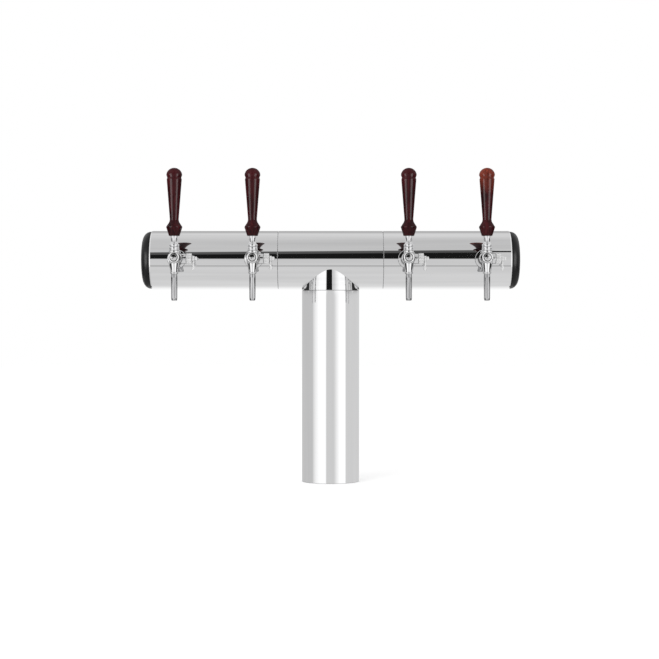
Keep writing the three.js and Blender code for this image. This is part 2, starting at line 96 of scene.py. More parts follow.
def distance(name, description, default):
    """A length that the sidebar shows."""
    return FloatProperty(
        name=name, description=description, default=default, subtype="DISTANCE", unit="LENGTH"
    )


def colour(name, description, default):
    """A colour that the sidebar shows."""
    return FloatVectorProperty(
        name=name, description=description, default=default, subtype="COLOR", size=3, min=0, max=1
    )


class TubeSettings(bpy.types.PropertyGroup):
    """Sizes and colours of the tubes and their caps."""

    wall: distance("Wall", "Thickness of the tubes' walls", 2 * MM)
    facets: IntProperty(name="Facets", description="Flats round each tube", default=192, min=24, max=512)
    edge: distance("Seam edge", "How far a tube's edge at a seam is rounded", 0.3 * MM)
    seam: distance("Seam", "How far each tube's end stands back at a seam in the head", 0.12 * MM)
    lip: distance("Lip", "Width of the slope at a tube's edge beside an end cap", 1.7 * MM)
    neck_taper: distance("Neck taper", "How much narrower the tee's neck is at the head's axis", 3.6 * MM)
    chrome: colour("Chrome", "Colour of the polished tubes", (0.93, 0.93, 0.935))
    plastic: colour("Plastic", "Colour of the end caps", (0.004, 0.004, 0.0045))
    rim: distance("Cap rim", "Width of a cap's straight rim", 1.3 * MM)


class TapSettings(bpy.types.PropertyGroup):
    """Sizes and colours of the taps."""

    facets: IntProperty(name="Facets", description="Flats round a turned piece", default=64, min=16, max=256)
    flange: distance("Flange", "Radius of the plate against the head", 16 * MM)
    barrel: distance("Barrel", "Radius of the barrel behind its taper", 11.4 * MM)
    nose: distance("Nose", "Radius of the barrel's front", 9.3 * MM)
    neck: distance("Neck", "Radius of the neck under the collar nut", 8.8 * MM)
    boss: distance("Boss", "Radius of the boss at the side", 8.6 * MM)
    spout: distance("Spout", "Radius of the spout near its top", 5.3 * MM)
    collar: distance("Collar nut", "Radius of the nut that holds the lever's ball", 8.6 * MM)
    ball: distance("Ball", "Radius of the lever's ball", 7 * MM)
    chrome: colour("Chrome", "Colour of the plated tap pieces", (0.87, 0.87, 0.875))
    satin: colour("Satin chrome", "Colour of the duller pieces at the taps' sides", (0.94, 0.94, 0.94))
    steel: colour("Steel", "Colour of the spouts and the hidden steel", (0.72, 0.72, 0.73))


class HandleSettings(bpy.types.PropertyGroup):
    """Sizes and colours of the turned handles."""

    bead: distance("Bead", "Radius of the pointed bead", 13.4 * MM)
    waist: distance("Waist", "Radius of the narrowest place", 7.2 * MM)
    shoulder: distance("Shoulder", "Radius below the groove", 12.6 * MM)
    dome: distance("Dome", "Radius of the round top", 13.2 * MM)
    dark: colour("Dark grain", "Darkest colour in the wood", (0.006, 0.0014, 0.0018))
    light: colour("Light grain", "Lightest colour in the wood", (0.04, 0.0055, 0.0072))
    warm: colour("Warm grain", "Lightest colour in the last handle", (0.2, 0.035, 0.018))


class StageSettings(bpy.types.PropertyGroup):
    """The floor, the light and the camera."""

    floor: colour("Floor", "Colour of the floor", (0.9, 0.9, 0.9))
    daylight: FloatProperty(name="Daylight", description="Even light all round", default=0.8, min=0, max=2)
    strips: FloatProperty(
        name="Strips", description="Power of the two tall lamps on handles and caps", default=32, min=0
    )
    lens: FloatProperty(name="Lens", description="Focal length in mm", default=81.94, min=10, max=400)
    camera_distance: distance("Camera distance", "From the camera to the head's axis", 2.606)
    camera_height: distance("Camera height", "Above the counter", 0.26315)
    camera_side: distance("Camera side", "To the right of the column's axis", -0.0019)


def settings(kind):
    """The scene's settings of a kind: tube, tap, handle or stage."""
    return getattr(bpy.context.scene, f"tower_{kind}")


# Meshes


def turned(profile, axis="Z", facets=64):
    """A turned mesh. The profile lists (radius, place along the axis, rounding of that corner), in metres."""
    bm = bmesh.new()
    corners = [bm.verts.new((radius, 0, along)) for radius, along, *_ in profile]
    pairs = list(zip(corners, corners[1:]))
    if profile[0][0] > 0:
        pairs.append((corners[-1], corners[0]))
    for pair in pairs:
        bm.edges.new(pair)
    for corner, (_, _, *rounding) in zip(corners, profile):
        if rounding:
            bmesh.ops.bevel(
                bm, geom=[corner], offset=rounding[0], offset_type="OFFSET", segments=BEVEL_STEPS,
                profile=0.5, affect="VERTICES", clamp_overlap=True, material=-1,
            )
    bmesh.ops.spin(
        bm, geom=bm.verts[:] + bm.edges[:], cent=(0, 0, 0), axis=(0, 0, 1), angle=2 * pi,
        steps=facets, use_merge=True,
    )
    bmesh.ops.remove_doubles(bm, verts=bm.verts, dist=SAME_PLACE)
    bmesh.ops.recalc_face_normals(bm, faces=bm.faces)
    turns = {"X": Matrix.Rotation(pi / 2, 4, "Y"), "Y": Matrix.Rotation(-pi / 2, 4, "X"), "Z": Matrix()}
    bmesh.ops.transform(bm, matrix=turns[axis], verts=bm.verts)
    return mesh_from(bm)


def millimetres(profile):
    """The points of a profile or a box, turned from millimetres into metres."""
    return [tuple(value * MM for value in point) for point in profile]


def mesh_from(bm):
    """Turns a bmesh into a mesh and frees it."""
    mesh = bpy.data.meshes.new("piece")
    bm.to_mesh(mesh)
    bm.free()
    return mesh


def rod(radius, start, end, axis="Z", facets=64):
    """A closed cylinder along an axis."""
    return turned([(0, start), (radius, start), (radius, end), (0, end)], axis, facets)


def block(low, high):
    """A box between two opposite corners."""
    bm = bmesh.new()
    bmesh.ops.create_cube(bm, size=1)
    low, high = Vector(low), Vector(high)
    bmesh.ops.scale(bm, vec=high - low, verts=bm.verts)
    bmesh.ops.translate(bm, vec=(low + high) / 2, verts=bm.verts)
    return mesh_from(bm)


def moved(mesh, *offset):
    """The same mesh, shifted by X, Y and Z."""
    mesh.transform(Matrix.Translation(offset))
    return mesh


def combined(base, joins=(), cuts=()):
    """The base mesh with other meshes joined to it and then cut from it."""
    scene = bpy.context.scene
    target = bpy.data.objects.new("base", base)
    scene.collection.objects.link(target)
    helpers = []
    for operation, meshes in (("UNION", joins), ("DIFFERENCE", cuts)):
        for mesh in meshes:
            helper = bpy.data.objects.new("helper", mesh)
            scene.collection.objects.link(helper)
            helpers.append(helper)
            modifier = target.modifiers.new(operation, "BOOLEAN")
            modifier.object = helper
            modifier.operation = operation
            modifier.solver = "EXACT"
    depsgraph = bpy.context.evaluated_depsgraph_get()
    result = bpy.data.meshes.new_from_object(target.evaluated_get(depsgraph), depsgraph=depsgraph)
    for obj in (target, *helpers):
        used = obj.data
        bpy.data.objects.remove(obj)
        bpy.data.meshes.remove(used)
    bm = bmesh.new()
    bm.from_mesh(result)
    bmesh.ops.remove_doubles(bm, verts=bm.verts, dist=2 * SAME_PLACE)
    bmesh.ops.dissolve_degenerate(bm, edges=bm.edges, dist=2 * SAME_PLACE)
    bm.to_mesh(result)
    bm.free()
    return result


def round_normals(mesh, *walls):
    """Shades the faces of round walls as perfectly round, and keeps the lines where they meet sharp.

    A wall is (axis, centre, radius at the centre, growth of the radius along the axis).
    """
    found = {}
    for face in mesh.polygons:
        for axis, centre, radius, growth in walls:
            spokes = [mesh.vertices[index].co - centre for index in face.vertices]
            radii = [radius + growth * spoke[axis] for spoke in spokes]
            for spoke in spokes:
                spoke[axis] = 0
            if all(abs(spoke.length - wanted) < ON_WALL for spoke, wanted in zip(spokes, radii)):
                directions = [spoke.normalized() for spoke in spokes]
                for direction in directions:
                    direction[axis] = -growth
                found[face.index] = (axis, [direction.normalized() for direction in directions])
                break
    kinds = {}
    for face in mesh.polygons:
        kind = found[face.index][0] if face.index in found else None
        for key in face.edge_keys:
            kinds.setdefault(key, set()).add(kind)
    for edge in mesh.edges:
        if len(kinds[edge.key]) > 1:
            edge.use_edge_sharp = True
    mesh.update()
    normals = [corner.vector.copy() for corner in mesh.corner_normals]
    for index, (_, directions) in found.items():
        for corner, direction in zip(mesh.polygons[index].loop_indices, directions):
            normals[corner] = direction
    mesh.normals_split_custom_set(normals)


def add_piece(name, mesh, material, slot, body, *nodes, walls=()):
    """Adds a finished piece that rides on a body and stands for the solids it is named after."""
    mesh.name = name
    mesh.materials.clear()
    mesh.materials.append(material)
    mesh.shade_smooth()
    mesh.set_sharp_from_angle(angle=SHARP_ANGLE)
    if walls:
        round_normals(mesh, *walls)
    piece = bpy.data.objects.new(name, mesh)
    bpy.context.scene.collection.objects.link(piece)
    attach(piece, body)
    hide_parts(*nodes)


def for_each_tap(piece, mesh, material, slot, body):
    """Places a copy of a tap piece on every tap. The material may be a function of the tap's number."""
    for n in TAPS:
        copy = moved(mesh.copy(), TAP_X[n], 0, HEAD_Z)
        finish = material(n) if callable(material) else material
        add_piece(f"tap_{n}_{piece}_shell", copy, finish, slot, body.format(n), f"tap_{n}_{piece}")
    bpy.data.meshes.remove(mesh)


# Materials


GRAIN_DEPTH = 0.05 * MM
# Rays that measure the occlusion behind the painted shade in corners
PAINTED_SHADE_SAMPLES = 6
FAINT_RIM = 0.12  # rim of the plated pieces


def blank_material(name):
    """A new material with its node tree and its shader."""
    material = bpy.data.materials.new(name)
    material.use_nodes = True
    tree = material.node_tree
    shader = tree.nodes["Principled BSDF"]
    return material, tree, shader


def streaks(tree, stretch, scale, detail=4):
    """Noise in the piece's own space, drawn out by a stretch along X, Y and Z."""
    coordinates = tree.nodes.new("ShaderNodeTexCoord")
    mapping = tree.nodes.new("ShaderNodeMapping")
    mapping.inputs["Scale"].default_value = stretch
    noise = tree.nodes.new("ShaderNodeTexNoise")
    noise.inputs["Scale"].default_value = scale
    noise.inputs["Detail"].default_value = detail
    tree.links.new(coordinates.outputs["Object"], mapping.inputs["Vector"])
    tree.links.new(mapping.outputs["Vector"], noise.inputs["Vector"])
    return noise.outputs["Fac"]


def ranged(tree, value, low, high, to_low, to_high):
    """Maps the range from low to high onto another range."""
    node = tree.nodes.new("ShaderNodeMapRange")
    for socket, number in zip(("From Min", "From Max", "To Min", "To Max"), (low, high, to_low, to_high)):
        node.inputs[socket].default_value = number
    tree.links.new(value, node.inputs["Value"])
    return node.outputs["Result"]


def from_noise(tree, noise, low, high):
    """Maps the middle of a noise, where most of it lies, onto a range."""
    return ranged(tree, noise, 0.3, 0.7, low, high)


def ramp(tree, value, stops):
    """A colour ramp. The stops list (place, shade), and a shade is a number or a colour."""
    node = tree.nodes.new("ShaderNodeValToRGB")
    elements = node.color_ramp.elements
    while len(elements) < len(stops):
        elements.new(0.5)
    for element, (place, shade) in zip(elements, stops):
        element.position = place
        element.color = (*shade, 1) if isinstance(shade, tuple) else (shade, shade, shade, 1)
    tree.links.new(value, node.inputs["Fac"])
    return node.outputs["Color"]


def bumped(tree, shader, value, strength, depth=GRAIN_DEPTH):
    """Lifts the surface by a value, in the shading alone."""
    bump = tree.nodes.new("ShaderNodeBump")
    bump.inputs["Strength"].default_value = strength
    bump.inputs["Distance"].default_value = depth
    tree.links.new(value, bump.inputs["Height"])
    tree.links.new(bump.outputs["Normal"], shader.inputs["Normal"])


def polished_metal(
    name, tint, stretch, scale, roughness, bump, shades=(0.97, 1), painted_shade_width=0, rim=1, metallic=1
):
    """Metal that mirrors its surroundings.

    The grain is a noise, drawn out by the stretch. It spreads the roughness over its range, and the tint
    over its shades. If a width is given, painted shade darkens the colour in corners and seams, from the
    ambient occlusion within that width. The rim is the tint of what is mirrored at a grazing angle, and
    metallic the share of bare metal.
    """
    material, tree, shader = blank_material(name)
    shader.inputs["Metallic"].default_value = metallic
    shader.inputs["Specular Tint"].default_value = (rim, rim, rim, 1)
    grain = streaks(tree, stretch, scale)
    shade = from_noise(tree, grain, *shades)
    # Painted shade: the colour darkens where ambient occlusion finds a corner or seam close by
    if painted_shade_width:
        corners = tree.nodes.new("ShaderNodeAmbientOcclusion")
        corners.inputs["Distance"].default_value = painted_shade_width
        corners.samples = PAINTED_SHADE_SAMPLES
        painted_shade = tree.nodes.new("ShaderNodeMath")
        painted_shade.operation = "MULTIPLY"
        tree.links.new(shade, painted_shade.inputs[0])
        # Painted shade runs from the darkest share at tight occlusion to none at wide occlusion
        tight, wide, darkest = 0.35, 0.95, 0.04
        openness = ranged(tree, corners.outputs["AO"], tight, wide, darkest, 1)
        tree.links.new(openness, painted_shade.inputs[1])
        shade = painted_shade.outputs["Value"]
    shaded = tree.nodes.new("ShaderNodeVectorMath")
    shaded.operation = "SCALE"
    shaded.inputs[0].default_value = tint
    tree.links.new(shade, shaded.inputs["Scale"])
    tree.links.new(shaded.outputs["Vector"], shader.inputs["Base Color"])
    tree.links.new(from_noise(tree, grain, *roughness), shader.inputs["Roughness"])
    bumped(tree, shader, grain, bump)
    return material


def moulded_plastic(name, tint, roughness):
    """Dark plastic with the fine grain of its mould."""
    material, tree, shader = blank_material(name)
    grain = streaks(tree, (1, 1, 1), 900, 3)
    tree.links.new(from_noise(tree, grain, *roughness), shader.inputs["Roughness"])
    shader.inputs["Base Color"].default_value = (*tint, 1)
    shader.inputs["Specular IOR Level"].default_value = 0.2
    bumped(tree, shader, grain, 0.15)
    return material


def varnished_wood(name, dark, light, glow):
    """Dark wood under varnish, whose light grain turns to the glow colour over the top of a handle."""
    material, tree, shader = blank_material(name)
    grain = streaks(tree, (1, 1, 0.09), 420, 6)
    figure = streaks(tree, (1, 1, 0.25), 60, 3)
    blend = tree.nodes.new("ShaderNodeMath")
    blend.operation = "MULTIPLY_ADD"
    grain_share = 0.55
    blend.inputs[1].default_value = grain_share
    tree.links.new(grain, blend.inputs[0])
    tree.links.new(ranged(tree, figure, 0, 1, 0, 1 - grain_share), blend.inputs[2])
    pattern = blend.outputs["Value"]
    between = tuple((a + b) / 2.6 for a, b in zip(dark, light))
    tone = ramp(tree, pattern, [(0.36, tuple(dark)), (0.5, between), (0.64, tuple(light))])
    warm_tone = ramp(tree, pattern, [(0.3, between), (0.64, tuple(glow))])
    coordinates = tree.nodes.new("ShaderNodeTexCoord")
    axes = tree.nodes.new("ShaderNodeSeparateXYZ")
    tree.links.new(coordinates.outputs["Object"], axes.inputs["Vector"])
    mix = tree.nodes.new("ShaderNodeMix")
    mix.data_type = "RGBA"
    glow_from, glow_to = HEAD_Z + 105 * MM, HEAD_Z + 150 * MM
    tree.links.new(ranged(tree, axes.outputs["Z"], glow_from, glow_to, 0, 1), mix.inputs["Factor"])
    tree.links.new(tone, mix.inputs["A"])
    tree.links.new(warm_tone, mix.inputs["B"])
    tree.links.new(mix.outputs["Result"], shader.inputs["Base Color"])
    tree.links.new(from_noise(tree, grain, 0.28, 0.42), shader.inputs["Roughness"])
    shader.inputs["Specular IOR Level"].default_value = 0
    shader.inputs["Coat Weight"].default_value = 0.26
    shader.inputs["Coat Roughness"].default_value = 0.12
    bumped(tree, shader, grain, 0.12)
    return material


def foam_material(name):
    """Yellowish foam with fine cells."""
    material, tree, shader = blank_material(name)
    cells = streaks(tree, (1, 1, 1), 500, 2)
    tone = ramp(tree, cells, [(0.35, (0.7, 0.6, 0.36)), (0.65, (0.86, 0.79, 0.56))])
    tree.links.new(tone, shader.inputs["Base Color"])
    shader.inputs["Roughness"].default_value = 0.95
    bumped(tree, shader, cells, 0.5, 0.3 * MM)
    return material


def line_material(name):
    """The cloudy plastic of a beer line."""
    material, tree, shader = blank_material(name)
    cloud = streaks(tree, (1, 1, 0.3), 80, 2)
    tone = ramp(tree, cloud, [(0.3, (0.7, 0.73, 0.74)), (0.7, (0.82, 0.85, 0.86))])
    tree.links.new(tone, shader.inputs["Base Color"])
    shader.inputs["Roughness"].default_value = 0.3
    return material


# Operators


class TOWER_OT_tubes(bpy.types.Operator):
    """Build the column, the tee and the two arms"""

    bl_idname = "tower.tubes"
    bl_label = "Tubes"

    def execute(self, context):
        tube = settings("tube")
        # The polish paints shade a millimetre into the corners and seams between the tubes
        polish = {"tint": tube.chrome, "scale": 130, "roughness": (0.018, 0.035), "bump": 0.008, "painted_shade_width": MM}
        along_x = polished_metal("polished_head", stretch=(0.02, 1, 1), shades=(0.9, 1), **polish)
        along_z = polished_metal("polished_column", stretch=(1, 1, 0.02), shades=(0.96, 1), **polish)
        facets, wall, edge = tube.facets, tube.wall, tube.edge
        past = 1.1  # a cutter is this much longer than what it cuts
        head = (0, Vector((0, 0, HEAD_Z)), HEAD_RADIUS, 0)

        def pipe(radius, stops, axis, rim):
            """A tube with a ring of corners round its outside at every stop."""
            start, end = stops[0], stops[-1]
            outside = [(radius, place) for place in stops[1:-1]]
            profile = [(radius - wall, start), (radius, start, edge), *outside, *rim, (radius - wall, end)]
            return turned(profile, axis, facets)

        column = pipe(COLUMN_RADIUS, [0, COLUMN_TOP], "Z", [(COLUMN_RADIUS, COLUMN_TOP, edge)])
        upright = (2, Vector((0, 0, 0)), COLUMN_RADIUS, 0)
        add_piece("column_shell", column, along_z, "polished_tube", "tower", "column_tube", walls=[upright])

        reach = 22 * MM  # rings this far to both sides of a hole keep the faces round it short
        lip_drop = 0.36 * tube.lip
        lip = [(HEAD_RADIUS, HEAD_END - tube.lip), (HEAD_RADIUS - lip_drop, HEAD_END)]
        for side, node in ((-1, "left_arm_tube"), (1, "right_arm_tube")):
            taps = sorted(x * side for x in TAP_X.values() if x * side > 0)
            stops = [ARM_START + tube.seam, *(x + step for x in taps for step in (-reach, reach)), HEAD_END]
            arm = pipe(HEAD_RADIUS, stops, "X", lip)
            cutters = [rod(SHANK_HOLE, -HEAD_RADIUS * past, -HEAD_RADIUS / 2, "Y") for _ in taps]
            arm = combined(arm, cuts=[moved(cutter, x, 0, 0) for cutter, x in zip(cutters, taps)])
            if side < 0:
                arm.transform(Matrix.Scale(-1, 4, (1, 0, 0)))
                arm.flip_normals()
            moved(arm, 0, 0, HEAD_Z)
            add_piece(f"{node}_shell", arm, along_x, "polished_tube", "tower", node, walls=[head])

        end = TEE_END - tube.seam
        middle_length = turned(
            [(0, -end), (HEAD_RADIUS, -end, edge), (HEAD_RADIUS, end, edge), (0, end)], "X", facets
        )
        foot = TEE_FOOT - HEAD_Z
        narrow = COLUMN_RADIUS - tube.neck_taper
        flare = (2, Vector((0, 0, HEAD_Z)), narrow, tube.neck_taper / foot)
        neck = turned([(0, foot), (COLUMN_RADIUS, foot, edge), (narrow, 0), (0, 0)], "Z", facets)
        head_bore = rod(HEAD_RADIUS - wall, -TEE_END * past, TEE_END * past, "X", facets)
        bore_low, bore_high = COLUMN_RADIUS - wall, narrow - wall
        neck_bore = turned(
            [(0, foot * past), (bore_low, foot * past), (bore_low, foot), (bore_high, 0), (0, 0)], "Z", facets
        )
        tee = moved(combined(middle_length, [neck], [head_bore, neck_bore]), 0, 0, HEAD_Z)
        add_piece("tee_shell", tee, along_x, "polished_tube", "tower", "tee", walls=[head, flare])
        return {"FINISHED"}


class TOWER_OT_end_caps(bpy.types.Operator):
    """Build the two black domed caps in the head's ends"""

    bl_idname = "tower.end_caps"
    bl_label = "End Caps"

    def execute(self, context):
        tube = settings("tube")
        plastic = moulded_plastic("black_plastic", tube.plastic, (0.3, 0.4))
        gap = 0.3 * MM
        start = HEAD_END + gap
        outside = HEAD_RADIUS - 1.3 * MM
        spigot = HEAD_RADIUS - tube.wall - gap
        spigot_inside, spigot_end = spigot - 3 * MM, start - 12 * MM
        corner_height, corner_reach = 15.7 * MM, 13.8 * MM
        steps = 12
        corner = []
        for i in range(steps + 1):
            angle = i * pi / 2 / steps
            along = start + tube.rim + corner_reach * sin(angle)
            corner.append((outside - corner_height * (1 - cos(angle)), along))
        profile = [
            (0, start), (spigot_inside, start), (spigot_inside, spigot_end), (spigot, spigot_end, 0.8 * MM),
            (spigot, start), (outside, start, 0.6 * MM), *corner, (0, CAP_TIP),
        ]
        for side, node in ((-1, "left_end_cap"), (1, "right_end_cap")):
            cap = turned(profile, "X", tube.facets)
            if side < 0:
                cap.transform(Matrix.Rotation(pi, 4, "Z"))
            moved(cap, 0, 0, HEAD_Z)
            add_piece(f"{node}_shell", cap, plastic, "black_plastic", "tower", node)
        return {"FINISHED"}


class TOWER_OT_tap_bodies(bpy.types.Operator):
    """Build the flange, the body and the spout of each tap"""

    bl_idname = "tower.tap_bodies"
    bl_label = "Tap Bodies"

    def execute(self, context):
        tap = settings("tap")
        # Both finishes paint shade into the corners between the tap's pieces
        chrome = polished_metal(
            "tap_chrome", tap.chrome, (1, 1, 1), 140, (0.04, 0.07), 0.03, painted_shade_width=1.6 * MM, rim=FAINT_RIM
        )
        steel = polished_metal(
            "brushed_spout", tap.steel, (1, 1, 0.03), 450, (0.08, 0.13), 0.02, shades=(0.5, 1),
            painted_shade_width=1.2 * MM, rim=FAINT_RIM,
        )
        facets = tap.facets

        face, back = -53.9 * MM, -10 * MM
        plate = turned(
            [(SHANK_HOLE, face), (15.4 * MM, face + 0.55 * MM), (tap.flange, face + 1.2 * MM, 0.4 * MM),
             (tap.flange, back), (SHANK_HOLE, back)],
            "Y", facets,
        )
        seat_gap, seat_reach = 0.3 * MM, 30 * MM
        seat = rod(HEAD_RADIUS + seat_gap, -seat_reach, seat_reach, "X", settings("tube").facets)
        flange = combined(plate, cuts=[seat])
        for_each_tap("flange", flange, chrome, "tap_chrome", "tower")

        barrel = turned(
            [
                # The nose disc, the groove and the bezel round it
                *millimetres([(0, -105.6), (5.6, -105.5, 0.5), (5.8, -103.2)]),
                *millimetres([(6.6, -103.2), (6.7, -104.9, 0.1), (8, -104.65)]),
                # The barrel with its taper
                (tap.nose, -104 * MM, MM), (tap.nose, -79 * MM, MM), (tap.barrel, -75 * MM, MM),
                (tap.barrel, -54.2 * MM, 0.4 * MM),
                # The shank, into the head
                (SHANK, -54.2 * MM), (SHANK, -37 * MM, 0.5 * MM), (0, -37 * MM),
            ],
            "Y", facets,
        )
        upper = turned(
            [(0, 0), (tap.neck, 0), (tap.neck, 11.9 * MM, 0.5 * MM),
             *millimetres([(6.95, 11.9), (6.95, 17), (0, 17)])],
            "Z", facets,
        )
        lower = turned(
            millimetres([
                (0, -27.7), (5.6, -27.7), (5.7, -26.3), (6.9, -26.1, 0.3), (6.9, -24.8, 0.3), (6.4, -24.4),
                (7.2, -17.7, 3), (9.1, -8.5, 3), (9.1, 0), (0, 0),
            ]),
            "Z", facets,
        )
        boss = turned([(0, 0), (tap.boss, 0), (tap.boss, 17.5 * MM, 0.6 * MM), (0, 17.5 * MM)], "X", facets)

        # What is cut out: the bores, room for the lever's pin, the screw slot and the set screw's hole
        hidden_facets = 32
        bore = turned(
            millimetres([
                (0, -101), (6.4, -101), (6.4, -83), (4.6, -83), (4.6, -80), (7.4, -80), (7.4, -33), (0, -33),
            ]),
            "Y", hidden_facets,
        )
        outlet = turned(
            millimetres([(0, -32), (5, -32), (5, -20), (3.7, -20), (3.7, 0), (0, 0)]), "Z", hidden_facets
        )
        neck_bore = rod(6.3 * MM, 0, 22 * MM, "Z", hidden_facets)
        swing = block(*millimetres([(-2.4, 0, 0), (2.4, 8, 13)]))
        socket = rod(5.1 * MM, 0, 22 * MM, "X", hidden_facets)
        slot = block(*millimetres([(-0.5, -106, -3), (0.5, -104.8, 3)]))
        slot.transform(Matrix.Rotation(radians(35), 4, "Y"))
        screw_hole = moved(rod(MM, -12 * MM, -6 * MM, "Y", 16), 14.8 * MM, 0, 0.4 * MM)
        body = combined(
            barrel,
            joins=[*(moved(neck, 0, SPOUT_Y, 0) for neck in (upper, lower)), moved(boss, 0, FLOW_Y, 0)],
            cuts=[bore, *(moved(cut, 0, SPOUT_Y, 0) for cut in (outlet, neck_bore, swing)),
                  *(moved(cut, 0, FLOW_Y, 0) for cut in (socket, screw_hole)), slot],
        )
        for_each_tap("body", body, chrome, "tap_chrome", "tower")

        spout = turned(
            [*millimetres([(3.7, -71.8), (4.2, -71.8, 0.4), (5.1, -69, 2)]), (tap.spout, -32 * MM, 2 * MM),
             *millimetres([(4.8, -28), (4.7, -28), (4.7, -20.3), (3.7, -20.3)])],
            "Z", facets,
        )
        for_each_tap("spout", moved(spout, 0, SPOUT_Y, 0), steel, "steel", "tower")
        return {"FINISHED"}


class TOWER_OT_levers(bpy.types.Operator):
    """Build the collar nut and the ball lever of each tap"""

    bl_idname = "tower.levers"
    bl_label = "Levers"

    def execute(self, context):
        tap = settings("tap")
        chrome = bpy.data.materials["tap_chrome"]
        facets = tap.facets
        socket = tap.ball + 0.3 * MM
        nut_foot, nut_top = 12.2 * MM, 23 * MM
        mouth = sqrt(socket**2 - (nut_top - PIVOT_Z) ** 2)
        band_edge = tap.collar - 0.4 * MM
        nut = turned(
            [
                (socket, nut_foot), (band_edge, nut_foot, 0.4 * MM), (tap.collar, 15 * MM, 2 * MM),
                # The groove between the two bulged bands
                (band_edge, 17.7 * MM, 0.2 * MM), (tap.collar - 1.3 * MM, 18.2 * MM),
                (band_edge, 18.7 * MM, 0.2 * MM), (tap.collar, 20.8 * MM, 1.5 * MM),
                (tap.collar - 0.6 * MM, nut_top, 0.6 * MM), (mouth, nut_top), (socket, PIVOT_Z),
            ],
            "Z", facets,
        )
        for_each_tap("collar_nut", moved(nut, 0, SPOUT_Y, 0), chrome, "tap_chrome", "tower")

        # The ball, the throat above it that clears the nut when the lever leans, the ferrule and its stud
        throat = 5 * MM
        top = atan2(sqrt(tap.ball**2 - throat**2), throat)
        steps = 14
        ball = []
        for i in range(steps + 1):
            angle = -pi / 2 + i * (top + pi / 2) / steps
            ball.append((max(0, tap.ball * cos(angle)), PIVOT_Z + tap.ball * sin(angle)))
        upper = turned(
            [*ball, (throat, 27.4 * MM),
             *millimetres([(5.5, 28, 0.2), (6.9, 36.4, 0.3), (3, 36.4), (3, 48.4, 0.4), (0, 48.4)])],
            "Z", facets,
        )
        pin = turned(
            millimetres([(0, -19), (2, -19, 1.9), (2, -16, 0.8), (1.6, -15), (1.6, -3), (0, -3)]), "Z", 32
        )
        pin_tilt = radians(-12)
        pin.transform(Matrix.Rotation(pin_tilt, 4, "X"))
        lever = combined(upper, [moved(pin, 0, 0, PIVOT_Z)])
        for_each_tap("lever", moved(lever, 0, SPOUT_Y, 0), chrome, "tap_chrome", "tap_{}_lever_group")
        return {"FINISHED"}


class TOWER_OT_handles(bpy.types.Operator):
    """Build the turned wooden handles"""

    bl_idname = "tower.handles"
    bl_label = "Handles"

    def execute(self, context):
        handle = settings("handle")
        woods = {
            "dark": varnished_wood("dark_varnished_wood", handle.dark, handle.light, handle.light),
            "warm": varnished_wood("warm_varnished_wood", handle.dark, handle.light, handle.warm),
        }
        profile = [
            # The hole for the stud, and the foot
            *millimetres([(0, 48.7), (3.3, 48.7), (3.3, 36.7, 0.3), (8.9, 36.7, 0.6)]),
            (handle.bead, 50.8 * MM, 0.4 * MM), (handle.bead, 51.8 * MM, 0.4 * MM),
            (handle.waist, 61.5 * MM, 3.5 * MM), (handle.shoulder, 131.5 * MM, 0.8 * MM),
            (11.6 * MM, 134 * MM, 0.4 * MM),
        ]
        dome_base, dome_rise, steps = 138.2 * MM, 12.4 * MM, 12
        for i in range(steps + 1):
            angle = i * pi / 2 / steps
            radius = handle.dome * cos(angle) if i < steps else 0
            profile.append((radius, dome_base + dome_rise * sin(angle)))
        mesh = turned(profile, "Z", 96)
        for_each_tap(
            "handle", moved(mesh, 0, SPOUT_Y, 0), lambda n: woods["warm" if n == TAPS[-1] else "dark"],
            "varnished_wood", "tap_{}_lever_group",
        )
        return {"FINISHED"}


class TOWER_OT_flow_controls(bpy.types.Operator):
    """Build the fluted gland and the small flow lever at the side of each tap"""

    bl_idname = "tower.flow_controls"
    bl_label = "Flow Controls"

    def execute(self, context):
        tap = settings("tap")
        # The satin finish paints shade into the corners of the gland and the lever
        satin = polished_metal(
            "satin_chrome", tap.satin, (1, 1, 1), 140, (0.18, 0.28), 0.04, painted_shade_width=1.4 * MM, rim=FAINT_RIM,
            metallic=0.35,
        )
        gland = turned(
            millimetres([
                (3.45, 11), (4.5, 11), (4.5, 17.8), (9.1, 17.8, 0.5), (9.1, 26.8, 0.9), (3.45, 26.8, 0.2),
            ]),
            "X", 96,
        )
        flutes, count, ring = [], 12, 9.6 * MM
        for i in range(count):
            flute = rod(0.9 * MM, 19 * MM, 28 * MM, "X", 12)
            angle = i * 2 * pi / count
            flutes.append(moved(flute, 0, ring * cos(angle), ring * sin(angle)))
        gland = combined(gland, cuts=flutes)
        for_each_tap("flow_gland", moved(gland, 0, FLOW_Y, 0), satin, "tap_chrome", "tower")

        # The shaft inside the gland, with its hub and cap screw, then the crank pin and the arm
        shaft = turned(
            millimetres([
                (0, 7.6), (4.4, 7.6, 0.3), (4.4, 10.4, 0.3), (2.9, 10.4), (2.9, 27.1), (4.6, 27.1, 0.4),
                (4.6, 31.3, 0.6), (3.3, 31.3), (3.3, 35.6, 1.2), (0, 35.6),
            ]),
            "X", 48,
        )
        crank = 1.697 * MM
        pin = moved(rod(1.2 * MM, 1.5 * MM, 9 * MM, "X", 24), 0, crank, -crank)
        arm = turned(
            millimetres([(0, -20.4), (2.9, -20.4, 2.6), (2.9, -15.2, 2), (1.6, -12.5, 2), (1.9, 0), (0, 0)]),
            "Z", 32,
        )
        hub_middle = 29.2 * MM
        lever = combined(shaft, [pin, moved(arm, hub_middle, 0, 0)])
        for_each_tap("flow_lever", moved(lever, 0, FLOW_Y, 0), satin, "tap_chrome", "tap_{}_flow_lever_group")
        return {"FINISHED"}


